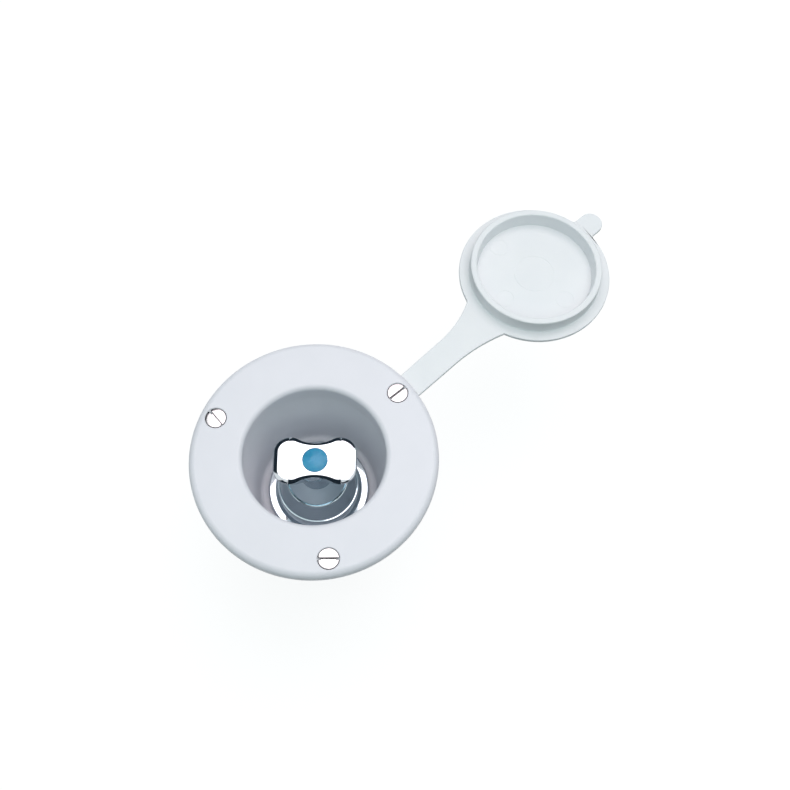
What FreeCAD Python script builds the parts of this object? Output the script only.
import FreeCAD, Part
import math
import os
import re
import Sketcher

# Recessed deck fill fitting for a fresh-water tank, in millimetres, +Z up out of the deck.
# The origin is the centre of the flange's underside, which lies on the deck at z = 0.
# +X points from the filler to its open cover, which lies flat on the deck beside it.

SIZES = {
    # moulded housing: round flange, recessed cup and the floor that carries the neck
    "flange_radius": 47.5,
    "flange_thick": 4.5,
    "flange_edge": 2.4,
    "mouth_radius": 27.3,
    "mouth_roll": 1.4,
    "floor_roll": 1.8,
    "mouth_depth": 4.0,
    "cutout_radius": 29.0,
    "cutout_depth": 12.0,
    "cup_floor_radius": 24.0,
    "cup_depth": 37.5,
    "cup_wall": 2.4,
    "floor_thick": 2.8,
    "neck_hole": 17.6,
    # closed-cell foam seal in the flange's underside
    "seal_inner": 31.0,
    "seal_outer": 34.0,
    "seal_depth": 2.0,
    # three countersunk slotted screws
    "screw_circle": 40.8,
    "screw_turn": -3.6,
    "screw_shank": 1.9,
    "screw_thread": 2.1,
    "screw_thread_low": 0.3,
    "screw_point": 5.0,
    "screw_tip": 0.3,
    "screw_head": 4.1,
    "screw_head_deep": 2.2,
    "screw_sunk": 0.1,
    "screw_length": 25.0,
    "screw_slot": 1.0,
    "screw_slot_deep": 0.9,
    "screw_play": 0.25,
    # flexible cover: strap, disc, plug ring and finger tab
    "cover_thick": 1.6,
    "cover_radius": 31.25,
    "cover_gap": 0.1,
    "fold_from_centre": 60.25,
    "fold_slit": 0.1,
    "strap_half": 5.7,
    "strap_shift": -2.1,
    "eye_radius": 6.2,
    "eye_play": 0.2,
    "flare_start": 68.5,
    "flare_low_radius": 74.0,
    "flare_low_half": 9.5,
    "flare_high_radius": 45.8,
    "flare_high_half": 11.5,
    "plug_ring_outer": 27.0,
    "plug_ring_inner": 23.7,
    "plug_ring_mouth": 24.4,
    "plug_ring_high": 6.4,
    "tab_radius": 4.9,
    "tab_out": 9.2,
    "tab_shift": 1.1,
    # chromed neck ring, its seals and the hose tail below the floor
    "collar_radius": 20.7,
    "collar_top": 35.0,
    "collar_seal": 0.8,
    "neck_bore": 14.5,
    "neck_thread": 17.4,
    "neck_bottom": 49.5,
    "ledge_thick": 2.0,
    "ledge_bore": 11.2,
    "slot_reach": 13.5,
    "slot_half": 3.7,
    "washer_thick": 1.0,
    "washer_outer": 22.6,
    "tail_nut_radius": 26.0,
    "tail_nut_high": 11.0,
    "tail_thread": 17.5,
    "tail_radius": 19.0,
    "tail_bore": 15.9,
    "tail_bottom": 80.0,
    "tail_plain": 69.0,
    "tail_groove_deep": 0.7,
    "tail_groove_pitch": 3.4,
    "tail_lead": 0.8,
    "tail_socket_bottom": 51.0,
    # bell-shaped cap and the plug inside it
    "bell_bottom": 34.4,
    "bell_foot": 17.9,
    "bell_rim_radius": 15.75,
    "bell_rim_depth": 29.3,
    "bell_rim_ledge": 0.4,
    "bell_shoulder_radius": 11.8,
    "bell_shoulder_depth": 21.2,
    "bell_shoulder_curve": 20.0,
    "bell_top_radius": 7.0,
    "bell_top": 17.7,
    "bell_bore": 4.4,
    "bell_roof": 20.5,
    "bell_roof_radius": 6.5,
    "bell_inside": 13.0,
    "bell_inside_top": 27.0,
    "gasket_outer": 17.3,
    "gasket_lift": 0.05,
    "plug_radius": 14.2,
    "plug_spigot": 12.98,
    "plug_top": 27.4,
    "plug_bottom": 46.5,
    "plug_bore": 4.3,
    "groove_middle": 41.0,
    "groove_half": 1.4,
    "ring_wire": 1.3,
    "ring_reach": 14.45,
    "bush_radius": 6.0,
    "bush_bore": 4.05,
    "bush_bottom": 34.8,
    "stem_ring_wire": 0.92,
    "stem_ring_middle": 35.9,
    "stem_ring_floor": 37.0,
    # butterfly grip, its stem, screw and coloured index button
    "grip_turn": -42.2,
    "grip_top": 1.8,
    "grip_thick": 6.2,
    "grip_half": 16.1,
    "grip_end_half": 9.6,
    "grip_waist_half": 6.95,
    "grip_corner": 6.2,
    "grip_edge": 1.2,
    "grip_under_edge": 1.2,
    "grip_hub": 6.6,
    "grip_hub_bottom": 17.4,
    "index_radius": 4.8,
    "index_play": 0.05,
    "index_deep": 1.2,
    "index_dome": 14.0,
    "index_rise": 0.9,
    "grip_screw_head": 3.5,
    "grip_screw_play": 0.1,
    "grip_screw_head_high": 2.4,
    "grip_screw_shank": 1.95,
    "grip_screw_bottom": 22.0,
    "stem_radius": 4.0,
    "stem_top": 7.0,
    "stem_tap": 2.0,
    "stem_tap_bottom": 23.0,
    "stem_shoulder": 49.8,
    "stem_square": 6.0,
    "stem_hole_play": 0.02,
    "stem_thread": 3.0,
    "stem_bottom": 59.0,
    # locking bar, wave washer and nut at the foot of the stem
    "bar_half": 13.0,
    "bar_width": 6.6,
    "bar_top": 50.0,
    "bar_thick": 2.5,
    "bar_play": 0.1,
    "wave_thick": 0.8,
    "wave_outer": 5.8,
    "nut_radius": 5.8,
    "nut_high": 5.0,
    "thread_play": 0.05,
}

SLOT_ANGLES = (-2.0, -92.0, -42.0)
TINY = 1e-6

doc = FreeCAD.newDocument("deck_filler")
sheet = doc.addObject("Spreadsheet::Sheet", "Sizes")
for row, (alias, size) in enumerate(SIZES.items(), start=1):
    sheet.set("A%d" % row, alias)
    sheet.set("B%d" % row, str(size))
    sheet.setAlias("B%d" % row, alias)
doc.recompute()

nodes = []


def formula(text):
    """Put the sheet's name before every alias in an expression."""
    def full_name(word):
        name = word.group(0)
        return "Sizes." + name if name in SIZES else name
    return re.sub(r"[a-z][a-z_]*", full_name, text)


def value(text):
    """The number that an expression gives now."""
    return float(sheet.evalExpression(formula(text)))


def bind(thing, **formulas):
    """Bind properties of one object to the sheet."""
    for name, text in formulas.items():
        thing.setExpression(name, formula(text))


def place(thing, x="0", y="0", z="0", turn=None):
    """Bind an object's place, and its turn about Z in degrees."""
    for axis, text in zip("xyz", (x, y, z)):
        thing.setExpression("Placement.Base." + axis, formula(text))
    if turn is not None:
        thing.Placement = FreeCAD.Placement(FreeCAD.Vector(), FreeCAD.Rotation(FreeCAD.Vector(0, 0, 1), 1))
        thing.setExpression("Placement.Rotation.Angle", formula("(%s) * 1 deg" % turn))


def node(thing, name):
    """Give a sub-part the label that names its file."""
    thing.Label = name
    nodes.append(thing)
    return thing


# ---- sketches and features inside a body ----

def new_body(name):
    return node(doc.addObject("PartDesign::Body", name + "_body"), name)


def sketch_on(body, plane, height="0"):
    """A sketch on one of the body's own origin planes, raised along its normal."""
    sketch = body.newObject("Sketcher::SketchObject", "Sketch")
    planes = {feature.Role: feature for feature in body.Origin.OriginFeatures}
    sketch.AttachmentSupport = [(planes[plane + "_Plane"], "")]
    sketch.MapMode = "FlatFace"
    sketch.setExpression("AttachmentOffset.Base.z", formula(height))
    return sketch


def fix_point(sketch, item, end, x, y):
    """Hold one point of a sketch at two distances from the origin."""
    for axis, text in (("X", x), ("Y", y)):
        rule = Sketcher.Constraint("Distance" + axis, -1, 1, item, end, value(text))
        number = sketch.addConstraint(rule)
        sketch.setExpression("Constraints[%d]" % number, formula(text))


def fix_radius(sketch, item, text):
    number = sketch.addConstraint(Sketcher.Constraint("Radius", item, value(text)))
    sketch.setExpression("Constraints[%d]" % number, formula(text))


def add_circle(sketch, x, y, radius):
    centre = FreeCAD.Vector(value(x), value(y), 0)
    item = sketch.addGeometry(Part.Circle(centre, FreeCAD.Vector(0, 0, 1), value(radius)), False)
    fix_point(sketch, item, 3, x, y)
    fix_radius(sketch, item, radius)


def arc_between(start, end, radius):
    """The short arc of a signed radius: positive turns left on its way from start to end."""
    chord = end - start
    size = abs(radius)
    left = FreeCAD.Vector(-chord.y, chord.x, 0).normalize()
    rise = math.sqrt(size ** 2 - (chord.Length / 2) ** 2)
    centre = (start + end) * 0.5 + left * math.copysign(rise, radius)
    first, last = (start, end) if radius > 0 else (end, start)
    angles = [math.atan2(point.y - centre.y, point.x - centre.x) for point in (first, last)]
    if angles[1] < angles[0]:
        angles[1] += 2 * math.pi
    circle = Part.Circle(centre, FreeCAD.Vector(0, 0, 1), size)
    return Part.ArcOfCircle(circle, angles[0], angles[1])


def add_outline(sketch, corners):
    """A closed outline. A corner is (x, y), or (x, y, radius) where an arc leaves it."""
    points = [FreeCAD.Vector(value(corner[0]), value(corner[1]), 0) for corner in corners]
    ends = []
    for number, corner in enumerate(corners):
        start = points[number]
        end = points[(number + 1) % len(points)]
        if len(corner) == 3:
            radius = value(corner[2])
            item = sketch.addGeometry(arc_between(start, end, radius), False)
            ends.append((item, 1, 2) if radius > 0 else (item, 2, 1))
        else:
            item = sketch.addGeometry(Part.LineSegment(start, end), False)
            ends.append((item, 1, 2))
    for number, (item, _, last) in enumerate(ends):
        following, first, _ = ends[(number + 1) % len(ends)]
        sketch.addConstraint(Sketcher.Constraint("Coincident", item, last, following, first))
    for (item, first, _), corner in zip(ends, corners):
        fix_point(sketch, item, first, corner[0], corner[1])
        if len(corner) == 3:
            size = corner[2][1:] if corner[2].startswith("-") else corner[2]
            fix_radius(sketch, item, size)


def add_box(sketch, x_low, x_high, y_low, y_high):
    add_outline(sketch, [(x_low, y_low), (x_high, y_low), (x_high, y_high), (x_low, y_high)])


def revolve(body, corners):
    """Turn a profile of (radius, height) corners about Z."""
    sketch = sketch_on(body, "XZ")
    add_outline(sketch, corners)
    feature = body.newObject("PartDesign::Revolution", "Revolution")
    feature.Profile = sketch
    feature.ReferenceAxis = (sketch, ["V_Axis"])
    feature.Angle = 360
    doc.recompute()
    return feature


def pad(body, sketch, length, down=False):
    feature = body.newObject("PartDesign::Pad", "Pad")
    feature.Profile = sketch
    feature.Reversed = down
    bind(feature, Length=length)
    doc.recompute()
    return feature


def pocket(body, sketch, length, up=False):
    """Cut a pocket, and stop if it points away from the solid."""
    before = body.Shape.Volume
    feature = body.newObject("PartDesign::Pocket", "Pocket")
    feature.Profile = sketch
    feature.Reversed = up
    bind(feature, Length=length)
    doc.recompute()
    if body.Shape.Volume > before - TINY:
        raise RuntimeError("a pocket in %s cuts nothing" % body.Label)
    return feature


def repeat(body, features, count):
    """Repeat features about Z."""
    pattern = body.newObject("PartDesign::PolarPattern", "PolarPattern")
    pattern.Originals = features
    pattern.Axis = ([item for item in body.Origin.OriginFeatures if item.Role == "Z_Axis"][0], [""])
    pattern.Angle = 360
    pattern.Occurrences = count
    body.Tip = pattern
    doc.recompute()
    return pattern


def round_edges(body, chosen, radius, kind="Fillet"):
    """Fillet or chamfer the edges for which chosen(edge) is true."""
    tip = body.Tip
    names = ["Edge%d" % number for number, edge in enumerate(tip.Shape.Edges, start=1) if chosen(edge)]
    if not names:
        raise RuntimeError("no edge to round in %s" % body.Label)
    feature = body.newObject("PartDesign::" + kind, kind)
    feature.Base = (tip, names)
    bind(feature, **{"Radius" if kind == "Fillet" else "Size": radius})
    doc.recompute()
    return feature


def circle_at(radius, height):
    """Chooses the circular edges about Z of one radius at one height."""
    def chosen(edge):
        curve = edge.Curve
        if not isinstance(curve, Part.Circle):
            return False
        off_axis = math.hypot(curve.Center.x, curve.Center.y)
        off_radius = abs(curve.Radius - value(radius))
        off_height = abs(curve.Center.z - value(height))
        return max(off_axis, off_radius, off_height) < 0.01
    return chosen


def ring(name, inner, outer, low, high):
    """A plain flat ring about Z."""
    body = new_body(name)
    revolve(body, [(inner, low), (outer, low), (outer, high), (inner, high)])
    return body


# ---- primitives ----

def cylinder(radius, low, high):
    thing = doc.addObject("Part::Cylinder", "Cylinder")
    bind(thing, Radius=radius, Height="(%s) - (%s)" % (high, low))
    place(thing, z=low)
    return thing


def cone(low_radius, high_radius, low, high):
    thing = doc.addObject("Part::Cone", "Cone")
    bind(thing, Radius1=low_radius, Radius2=high_radius, Height="(%s) - (%s)" % (high, low))
    place(thing, z=low)
    return thing


def block(length, width, low, high, turn=None):
    """A box centred on Z, from one height to another."""
    thing = doc.addObject("Part::Box", "Box")
    bind(thing, Length=length, Width=width, Height="(%s) - (%s)" % (high, low))
    if turn is None:
        place(thing, x="-(%s) / 2" % length, y="-(%s) / 2" % width, z=low)
        return thing
    half_diagonal = "sqrt((%s)^2 + (%s)^2) / 2" % (length, width)
    heading = "((%s) * 1 deg + 180 deg + atan((%s) / (%s)))" % (turn, width, length)
    corner_x = "%s * cos(%s)" % (half_diagonal, heading)
    corner_y = "%s * sin(%s)" % (half_diagonal, heading)
    place(thing, corner_x, corner_y, low, turn)
    return thing


def prism(radius, low, high):
    thing = doc.addObject("Part::Prism", "Prism")
    thing.Polygon = 6
    bind(thing, Circumradius=radius, Height="(%s) - (%s)" % (high, low))
    place(thing, z=low)
    return thing


def cut(base, tool):
    thing = doc.addObject("Part::Cut", "Cut")
    thing.Base = base
    thing.Tool = tool
    return thing


def fuse(*shapes):
    thing = doc.addObject("Part::MultiFuse", "Fuse")
    thing.Shapes = list(shapes)
    return thing


def common(base, tool):
    thing = doc.addObject("Part::Common", "Common")
    thing.Base = base
    thing.Tool = tool
    return thing


def o_ring(name, reach, wire, middle):
    """A round-wire ring: its outside reaches one radius, at one height."""
    thing = doc.addObject("Part::Torus", name + "_torus")
    bind(thing, Radius1="%s - %s" % (reach, wire), Radius2=wire)
    place(thing, z=middle)
    return node(thing, name)


# ---- housing: one white moulding, held to the deck by three screws ----

screw_x = "screw_circle * cos(screw_turn * 1 deg)"
screw_y = "screw_circle * sin(screw_turn * 1 deg)"

housing = new_body("deck_housing")
revolve(housing, [
    ("neck_hole", "-cup_depth - floor_thick"),
    ("cup_floor_radius + cup_wall", "-cup_depth - floor_thick"),
    ("cutout_radius", "-cutout_depth"),
    ("cutout_radius", "0"),
    ("seal_inner", "0"),
    ("seal_inner", "seal_depth"),
    ("seal_outer", "seal_depth"),
    ("seal_outer", "0"),
    ("flange_radius", "0"),
    ("flange_radius", "flange_thick"),
    ("mouth_radius", "flange_thick"),
    ("mouth_radius", "-mouth_depth"),
    ("cup_floor_radius", "-cup_depth"),
    ("neck_hole", "-cup_depth"),
])

round_edges(housing, circle_at("flange_radius", "flange_thick"), "flange_edge")
round_edges(housing, circle_at("mouth_radius", "flange_thick"), "mouth_roll")
round_edges(housing, circle_at("cup_floor_radius", "-cup_depth"), "floor_roll")

# The strap's eye and the first stretch of the strap lie in a pocket in the underside.
eye_pocket = sketch_on(housing, "XY")
add_circle(eye_pocket, screw_x, screw_y, "eye_radius + eye_play")
pocket(housing, eye_pocket, "cover_thick + cover_gap", up=True)
strap_pocket = sketch_on(housing, "XY")
add_box(strap_pocket, "screw_circle", "flange_radius + 1", "strap_shift - strap_half - eye_play",
        "strap_shift + strap_half + eye_play")
pocket(housing, strap_pocket, "cover_thick + cover_gap", up=True)

# One clearance hole with its countersink, repeated three times.
hole_sketch = sketch_on(housing, "XY", "flange_thick")
add_circle(hole_sketch, screw_x, screw_y, "screw_thread + screw_play")
screw_hole = pocket(housing, hole_sketch, "flange_thick + 1")
sink_sketch = sketch_on(housing, "XY", "flange_thick")
add_circle(sink_sketch, screw_x, screw_y, "screw_head + screw_play / 2")
screw_sink = pocket(housing, sink_sketch, "screw_head_deep + screw_sunk")
screw_sink.setExpression("TaperAngle", formula(
    "-atan((screw_head - screw_shank) / screw_head_deep)"))
repeat(housing, [screw_hole, screw_sink], 3)

ring("flange_seal", "seal_inner + screw_play", "seal_outer - screw_play", "0", "seal_depth")

# The rolled thread is thicker than the shank above it, and starts just under the deck's surface.
screws = []
for number, slot_angle in enumerate(SLOT_ANGLES):
    head_top = "flange_thick - screw_sunk"
    screw_end = head_top + " - screw_length"
    point = cone("screw_tip", "screw_thread", screw_end, screw_end + " + screw_point")
    thread = cylinder("screw_thread", screw_end + " + screw_point", "-screw_thread_low")
    shank = cylinder("screw_shank", "-screw_thread_low", head_top + " - screw_head_deep")
    head = cone("screw_shank", "screw_head", head_top + " - screw_head_deep", head_top)
    slot = block("3 * screw_head", "screw_slot", head_top + " - screw_slot_deep", "flange_thick + 1",
                 turn=str(slot_angle))
    screw = cut(fuse(point, thread, shank, head), slot)
    turn = "(screw_turn + %d * 120) * 1 deg" % number
    place(screw, "screw_circle * cos(%s)" % turn, "screw_circle * sin(%s)" % turn)
    screws.append(screw)
screw_set = doc.addObject("Part::Compound", "Screws")
screw_set.Links = screws
node(screw_set, "flange_screws")


# ---- cover: one soft moulding, made in two pieces that meet at its fold ----

strap = new_body("cover_strap")
strap_sketch = sketch_on(strap, "XY")
add_box(strap_sketch, "screw_circle", "fold_from_centre - fold_slit", "strap_shift - strap_half",
        "strap_shift + strap_half")
pad(strap, strap_sketch, "cover_thick")
eye_sketch = sketch_on(strap, "XY")
add_circle(eye_sketch, screw_x, screw_y, "eye_radius")
pad(strap, eye_sketch, "cover_thick")
eye_hole = sketch_on(strap, "XY")
add_circle(eye_hole, screw_x, screw_y, "screw_thread + screw_play")
pocket(strap, eye_hole, "cover_thick", up=True)

cover_x = "2 * fold_from_centre"
cover = new_body("cover_lid")
disc_sketch = sketch_on(cover, "XY")
add_circle(disc_sketch, cover_x, "0", "cover_radius")
pad(cover, disc_sketch, "cover_thick")

# The strap flares into the disc with a hollow edge on each side, and less on the lower side.
arm_sketch = sketch_on(cover, "XY")
flare_run = "sqrt(%s^2 - (%s + strap_half - %s)^2)"
low_end = "flare_start + " + flare_run % ("flare_low_radius", "flare_low_radius", "flare_low_half")
high_end = "flare_start + " + flare_run % ("flare_high_radius", "flare_high_radius", "flare_high_half")
add_outline(arm_sketch, [
    ("fold_from_centre + fold_slit", "strap_shift - strap_half"),
    ("flare_start", "strap_shift - strap_half", "-flare_low_radius"),
    (low_end, "strap_shift - flare_low_half"),
    (cover_x + " - plug_ring_inner", "strap_shift - flare_low_half"),
    (cover_x + " - plug_ring_inner", "strap_shift + flare_high_half"),
    (high_end, "strap_shift + flare_high_half", "-flare_high_radius"),
    ("flare_start", "strap_shift + strap_half"),
    ("fold_from_centre + fold_slit", "strap_shift + strap_half"),
])
pad(cover, arm_sketch, "cover_thick")

tab_x = cover_x + " + cover_radius + tab_out - tab_radius"
tab_sketch = sketch_on(cover, "XY")
add_circle(tab_sketch, tab_x, "tab_shift", "tab_radius")
pad(cover, tab_sketch, "cover_thick")
tab_root = sketch_on(cover, "XY")
ring_edge = cover_x + " + plug_ring_outer"
add_box(tab_root, ring_edge, tab_x, "tab_shift - tab_radius", "tab_shift + tab_radius")
pad(cover, tab_root, "cover_thick")

# The plug ring's inner wall leans outwards, so that it draws off the mould.
ring_sketch = sketch_on(cover, "XY", "cover_thick")
add_circle(ring_sketch, cover_x, "0", "plug_ring_outer")
pad(cover, ring_sketch, "plug_ring_high")
ring_hollow = sketch_on(cover, "XY", "cover_thick + plug_ring_high")
add_circle(ring_hollow, cover_x, "0", "plug_ring_mouth")
ring_draft = pocket(cover, ring_hollow, "plug_ring_high")
ring_draft.setExpression("TaperAngle", formula(
    "-atan((plug_ring_mouth - plug_ring_inner) / plug_ring_high)"))


# ---- neck ring: chromed collar on the cup's floor, threaded below it ----

neck = new_body("neck_ring")
revolve(neck, [
    ("ledge_bore", "-neck_bottom"),
    ("neck_thread", "-neck_bottom"),
    ("neck_thread", "-cup_depth + collar_seal"),
    ("collar_radius", "-cup_depth + collar_seal"),
    ("collar_radius", "-collar_top"),
    ("neck_bore", "-collar_top"),
    ("neck_bore", "-neck_bottom + ledge_thick"),
    ("ledge_bore", "-neck_bottom + ledge_thick"),
])
# The bar drops through two slots in the ledge and is turned under it.
slot_sketch = sketch_on(neck, "XY", "-neck_bottom + ledge_thick + 1")
slot_sketch.AttachmentOffset.Rotation = FreeCAD.Rotation(FreeCAD.Vector(0, 0, 1), value("grip_turn"))
slot_sketch.setExpression("AttachmentOffset.Rotation.Angle", formula("grip_turn * 1 deg"))
add_box(slot_sketch, "-slot_reach", "slot_reach", "-slot_half", "slot_half")
pocket(neck, slot_sketch, "ledge_thick + 2")
round_edges(neck, circle_at("collar_radius", "-collar_top"), "collar_seal")

ring("neck_seal", "neck_hole", "collar_radius - collar_seal", "-cup_depth", "-cup_depth + collar_seal")
under_floor = "-cup_depth - floor_thick"
ring("neck_washer", "neck_hole", "washer_outer", under_floor + " - washer_thick", under_floor)

tail_top = under_floor + " - washer_thick"
tail_step = tail_top + " - tail_nut_high"
hose_tail = new_body("hose_tail")
tail_nut = sketch_on(hose_tail, "XY", tail_top)
add_outline(tail_nut, [
    ("tail_nut_radius * cos(%d deg)" % angle, "tail_nut_radius * sin(%d deg)" % angle)
    for angle in range(0, 360, 60)
])
pad(hose_tail, tail_nut, "tail_nut_high", down=True)
tail_profile = [
    ("tail_bore", "-tail_bottom"),
    ("tail_radius - tail_lead", "-tail_bottom"),
    ("tail_radius", "-tail_bottom + tail_lead"),
]
for number in (3, 2, 1):
    low = "-tail_plain - %d * tail_groove_pitch" % number
    tail_profile.append(("tail_radius", low + " + tail_groove_pitch / 3"))
    tail_profile.append(("tail_radius - tail_groove_deep", low + " + tail_groove_pitch / 2"))
    tail_profile.append(("tail_radius", low + " + tail_groove_pitch"))
tail_profile.append(("tail_radius", tail_step + " + tail_lead"))
tail_profile.append(("tail_bore", tail_step + " + tail_lead"))
revolve(hose_tail, tail_profile)
socket = sketch_on(hose_tail, "XY", tail_top)
add_circle(socket, "0", "0", "tail_thread")
pocket(hose_tail, socket, tail_top + " + tail_socket_bottom")
through = sketch_on(hose_tail, "XY", tail_top)
add_circle(through, "0", "0", "tail_bore")
pocket(hose_tail, through, "tail_bottom")


# ---- cap: chromed bell over an acetal plug, with its rubber rings and bush ----

bell = new_body("cap_dome")
revolve(bell, [
    ("bell_inside", "-bell_bottom"),
    ("bell_foot", "-bell_bottom"),
    ("bell_rim_radius + bell_rim_ledge", "-bell_rim_depth - bell_rim_ledge"),
    ("bell_rim_radius", "-bell_rim_depth"),
    ("bell_shoulder_radius", "-bell_shoulder_depth", "bell_shoulder_curve"),
    ("bell_top_radius", "-bell_top"),
    ("bell_bore", "-bell_top"),
    ("bell_bore", "-bell_roof"),
    ("bell_roof_radius", "-bell_roof"),
    ("bell_inside", "-bell_inside_top"),
])
ring("cap_gasket", "plug_radius + screw_play", "gasket_outer", "-collar_top + gasket_lift", "-bell_bottom")

plug = new_body("cap_plug")
groove_floor = "ring_reach - 2 * ring_wire - stem_hole_play"
revolve(plug, [
    ("plug_bore", "-plug_bottom"),
    ("plug_radius", "-plug_bottom"),
    ("plug_radius", "-groove_middle - groove_half"),
    (groove_floor, "-groove_middle - groove_half"),
    (groove_floor, "-groove_middle + groove_half"),
    ("plug_radius", "-groove_middle + groove_half"),
    ("plug_radius", "-bell_bottom"),
    ("plug_spigot", "-bell_bottom"),
    ("plug_spigot", "-plug_top"),
    ("bush_radius", "-plug_top"),
    ("bush_radius", "-stem_ring_floor"),
    ("plug_bore", "-stem_ring_floor"),
])
o_ring("cap_o_ring", "ring_reach", "ring_wire", "-groove_middle")
o_ring("stem_o_ring", "bush_radius - 2 * stem_hole_play", "stem_ring_wire", "-stem_ring_middle")
ring("stem_bush", "bush_bore", "bush_radius - stem_hole_play", "-bush_bottom", "-plug_top")


# ---- grip: chromed butterfly on a steel stem, its screw hidden by the blue button ----

# Each corner's arc runs on into the hollow of the waist without a break.
corner_x = "(grip_half - grip_corner)"
corner_y = "(grip_end_half - grip_corner)"
waist_rise = "(grip_waist_half - grip_end_half + grip_corner)"
hollow = "((%s^2 + %s^2 - grip_corner^2) / 2 / (grip_corner - %s))" % (corner_x, waist_rise, waist_rise)
hollow_share = "(%s / (%s + grip_corner))" % (hollow, hollow)
join_x = "(%s * %s)" % (corner_x, hollow_share)
join_y = "(grip_waist_half + %s - (%s + %s) * %s)" % (hollow, hollow, waist_rise, hollow_share)
grip = new_body("butterfly_grip")
grip_sketch = sketch_on(grip, "XY", "-grip_top")
add_outline(grip_sketch, [
    ("grip_half", "-" + corner_y),
    ("grip_half", corner_y, "grip_corner"),
    (join_x, join_y, "-" + hollow),
    ("-" + join_x, join_y, "grip_corner"),
    ("-grip_half", corner_y),
    ("-grip_half", "-" + corner_y, "grip_corner"),
    ("-" + join_x, "-" + join_y, "-" + hollow),
    (join_x, "-" + join_y, "grip_corner"),
])
pad(grip, grip_sketch, "grip_thick", down=True)


def rim_edge(height):
    """Chooses every edge that lies at one height."""
    def chosen(edge):
        box = edge.BoundBox
        return abs(box.ZMin - value(height)) < TINY and abs(box.ZMax - value(height)) < TINY
    return chosen


round_edges(grip, rim_edge("-grip_top"), "grip_edge")
round_edges(grip, rim_edge("-grip_top - grip_thick"), "grip_under_edge")
hub = sketch_on(grip, "XY", "-grip_top - grip_thick / 2")
add_circle(hub, "0", "0", "grip_hub")
pad(grip, hub, "grip_hub_bottom - grip_top - grip_thick / 2", down=True)
for radius, low in (
    ("index_radius + index_play", "grip_top + index_deep"),
    ("grip_screw_head + grip_screw_play", "grip_top + index_deep + grip_screw_head_high"),
    ("grip_screw_shank + grip_screw_play", "stem_top"),
):
    bore = sketch_on(grip, "XY", "-grip_top")
    add_circle(bore, "0", "0", radius)
    pocket(grip, bore, low + " - grip_top")
stem_hole = sketch_on(grip, "XY", "-stem_top")
add_circle(stem_hole, "0", "0", "stem_radius + stem_hole_play")
pocket(grip, stem_hole, "grip_hub_bottom")
place(grip, turn="grip_turn")

# The button is a slice of a ball: flat below, domed above.
index_low = "-grip_top - index_deep"
dome_ball = doc.addObject("Part::Sphere", "Ball")
bind(dome_ball, Radius="index_dome")
place(dome_ball, z="-grip_top + index_rise - index_dome")
index = common(cylinder("index_radius", index_low, "0"), dome_ball)
node(index, "index_button")

head_top = "-grip_top - index_deep"
screw_head = cylinder("grip_screw_head", head_top + " - grip_screw_head_high", head_top)
screw_shank = cylinder("grip_screw_shank", "-grip_screw_bottom", head_top + " - grip_screw_head_high")
driver_slot = block("3 * grip_screw_head", "screw_slot", head_top + " - screw_slot_deep", "0")
node(cut(fuse(screw_head, screw_shank), driver_slot), "grip_screw")

shaft = cylinder("stem_radius", "-stem_shoulder", "-stem_top")
square = block("stem_square", "stem_square", "-bar_top - bar_thick", "-stem_shoulder", turn="grip_turn")
thread = cylinder("stem_thread", "-stem_bottom", "-bar_top - bar_thick")
tapping = cylinder("stem_tap", "-stem_tap_bottom", "0")
node(cut(fuse(shaft, square, thread), tapping), "grip_stem")

bar_low = "-bar_top - bar_thick"
bar_blank = block("2 * bar_half", "bar_width", bar_low, "-bar_top", turn="grip_turn")
bar_sweep = cylinder("bar_half", bar_low, "-bar_top")
bar_hole = block("stem_square + bar_play", "stem_square + bar_play", bar_low + " - 1", "0", turn="grip_turn")
node(cut(common(bar_blank, bar_sweep), bar_hole), "locking_bar")

ring("wave_washer", "stem_thread + thread_play", "wave_outer", bar_low + " - wave_thick", bar_low)
nut_top = bar_low + " - wave_thick"
nut_blank = prism("nut_radius", nut_top + " - nut_high", nut_top)
nut_hole = cylinder("stem_thread + thread_play", nut_top + " - nut_high - 1", "0")
node(cut(nut_blank, nut_hole), "bar_nut")


# ---- check every feature, then write one file for each sub-part ----

doc.recompute()
failed = [item.Label for item in doc.Objects if {"Invalid", "Error"} & set(item.State)]
for item in nodes:
    if item.Shape.isNull() or not item.Shape.isValid():
        failed.append(item.Label)
if failed:
    raise RuntimeError("failed: " + ", ".join(sorted(set(failed))))

os.makedirs("parts", exist_ok=True)
for item in nodes:
    item.Shape.exportStep(os.path.join("parts", item.Label + ".step"))
    box = item.Shape.BoundBox
    print("%-16s %d solid  %9.1f mm3  x %6.1f %6.1f  y %6.1f %6.1f  z %6.1f %6.1f" % (
        item.Label, len(item.Shape.Solids), item.Shape.Volume,
        box.XMin, box.XMax, box.YMin, box.YMax, box.ZMin, box.ZMax))
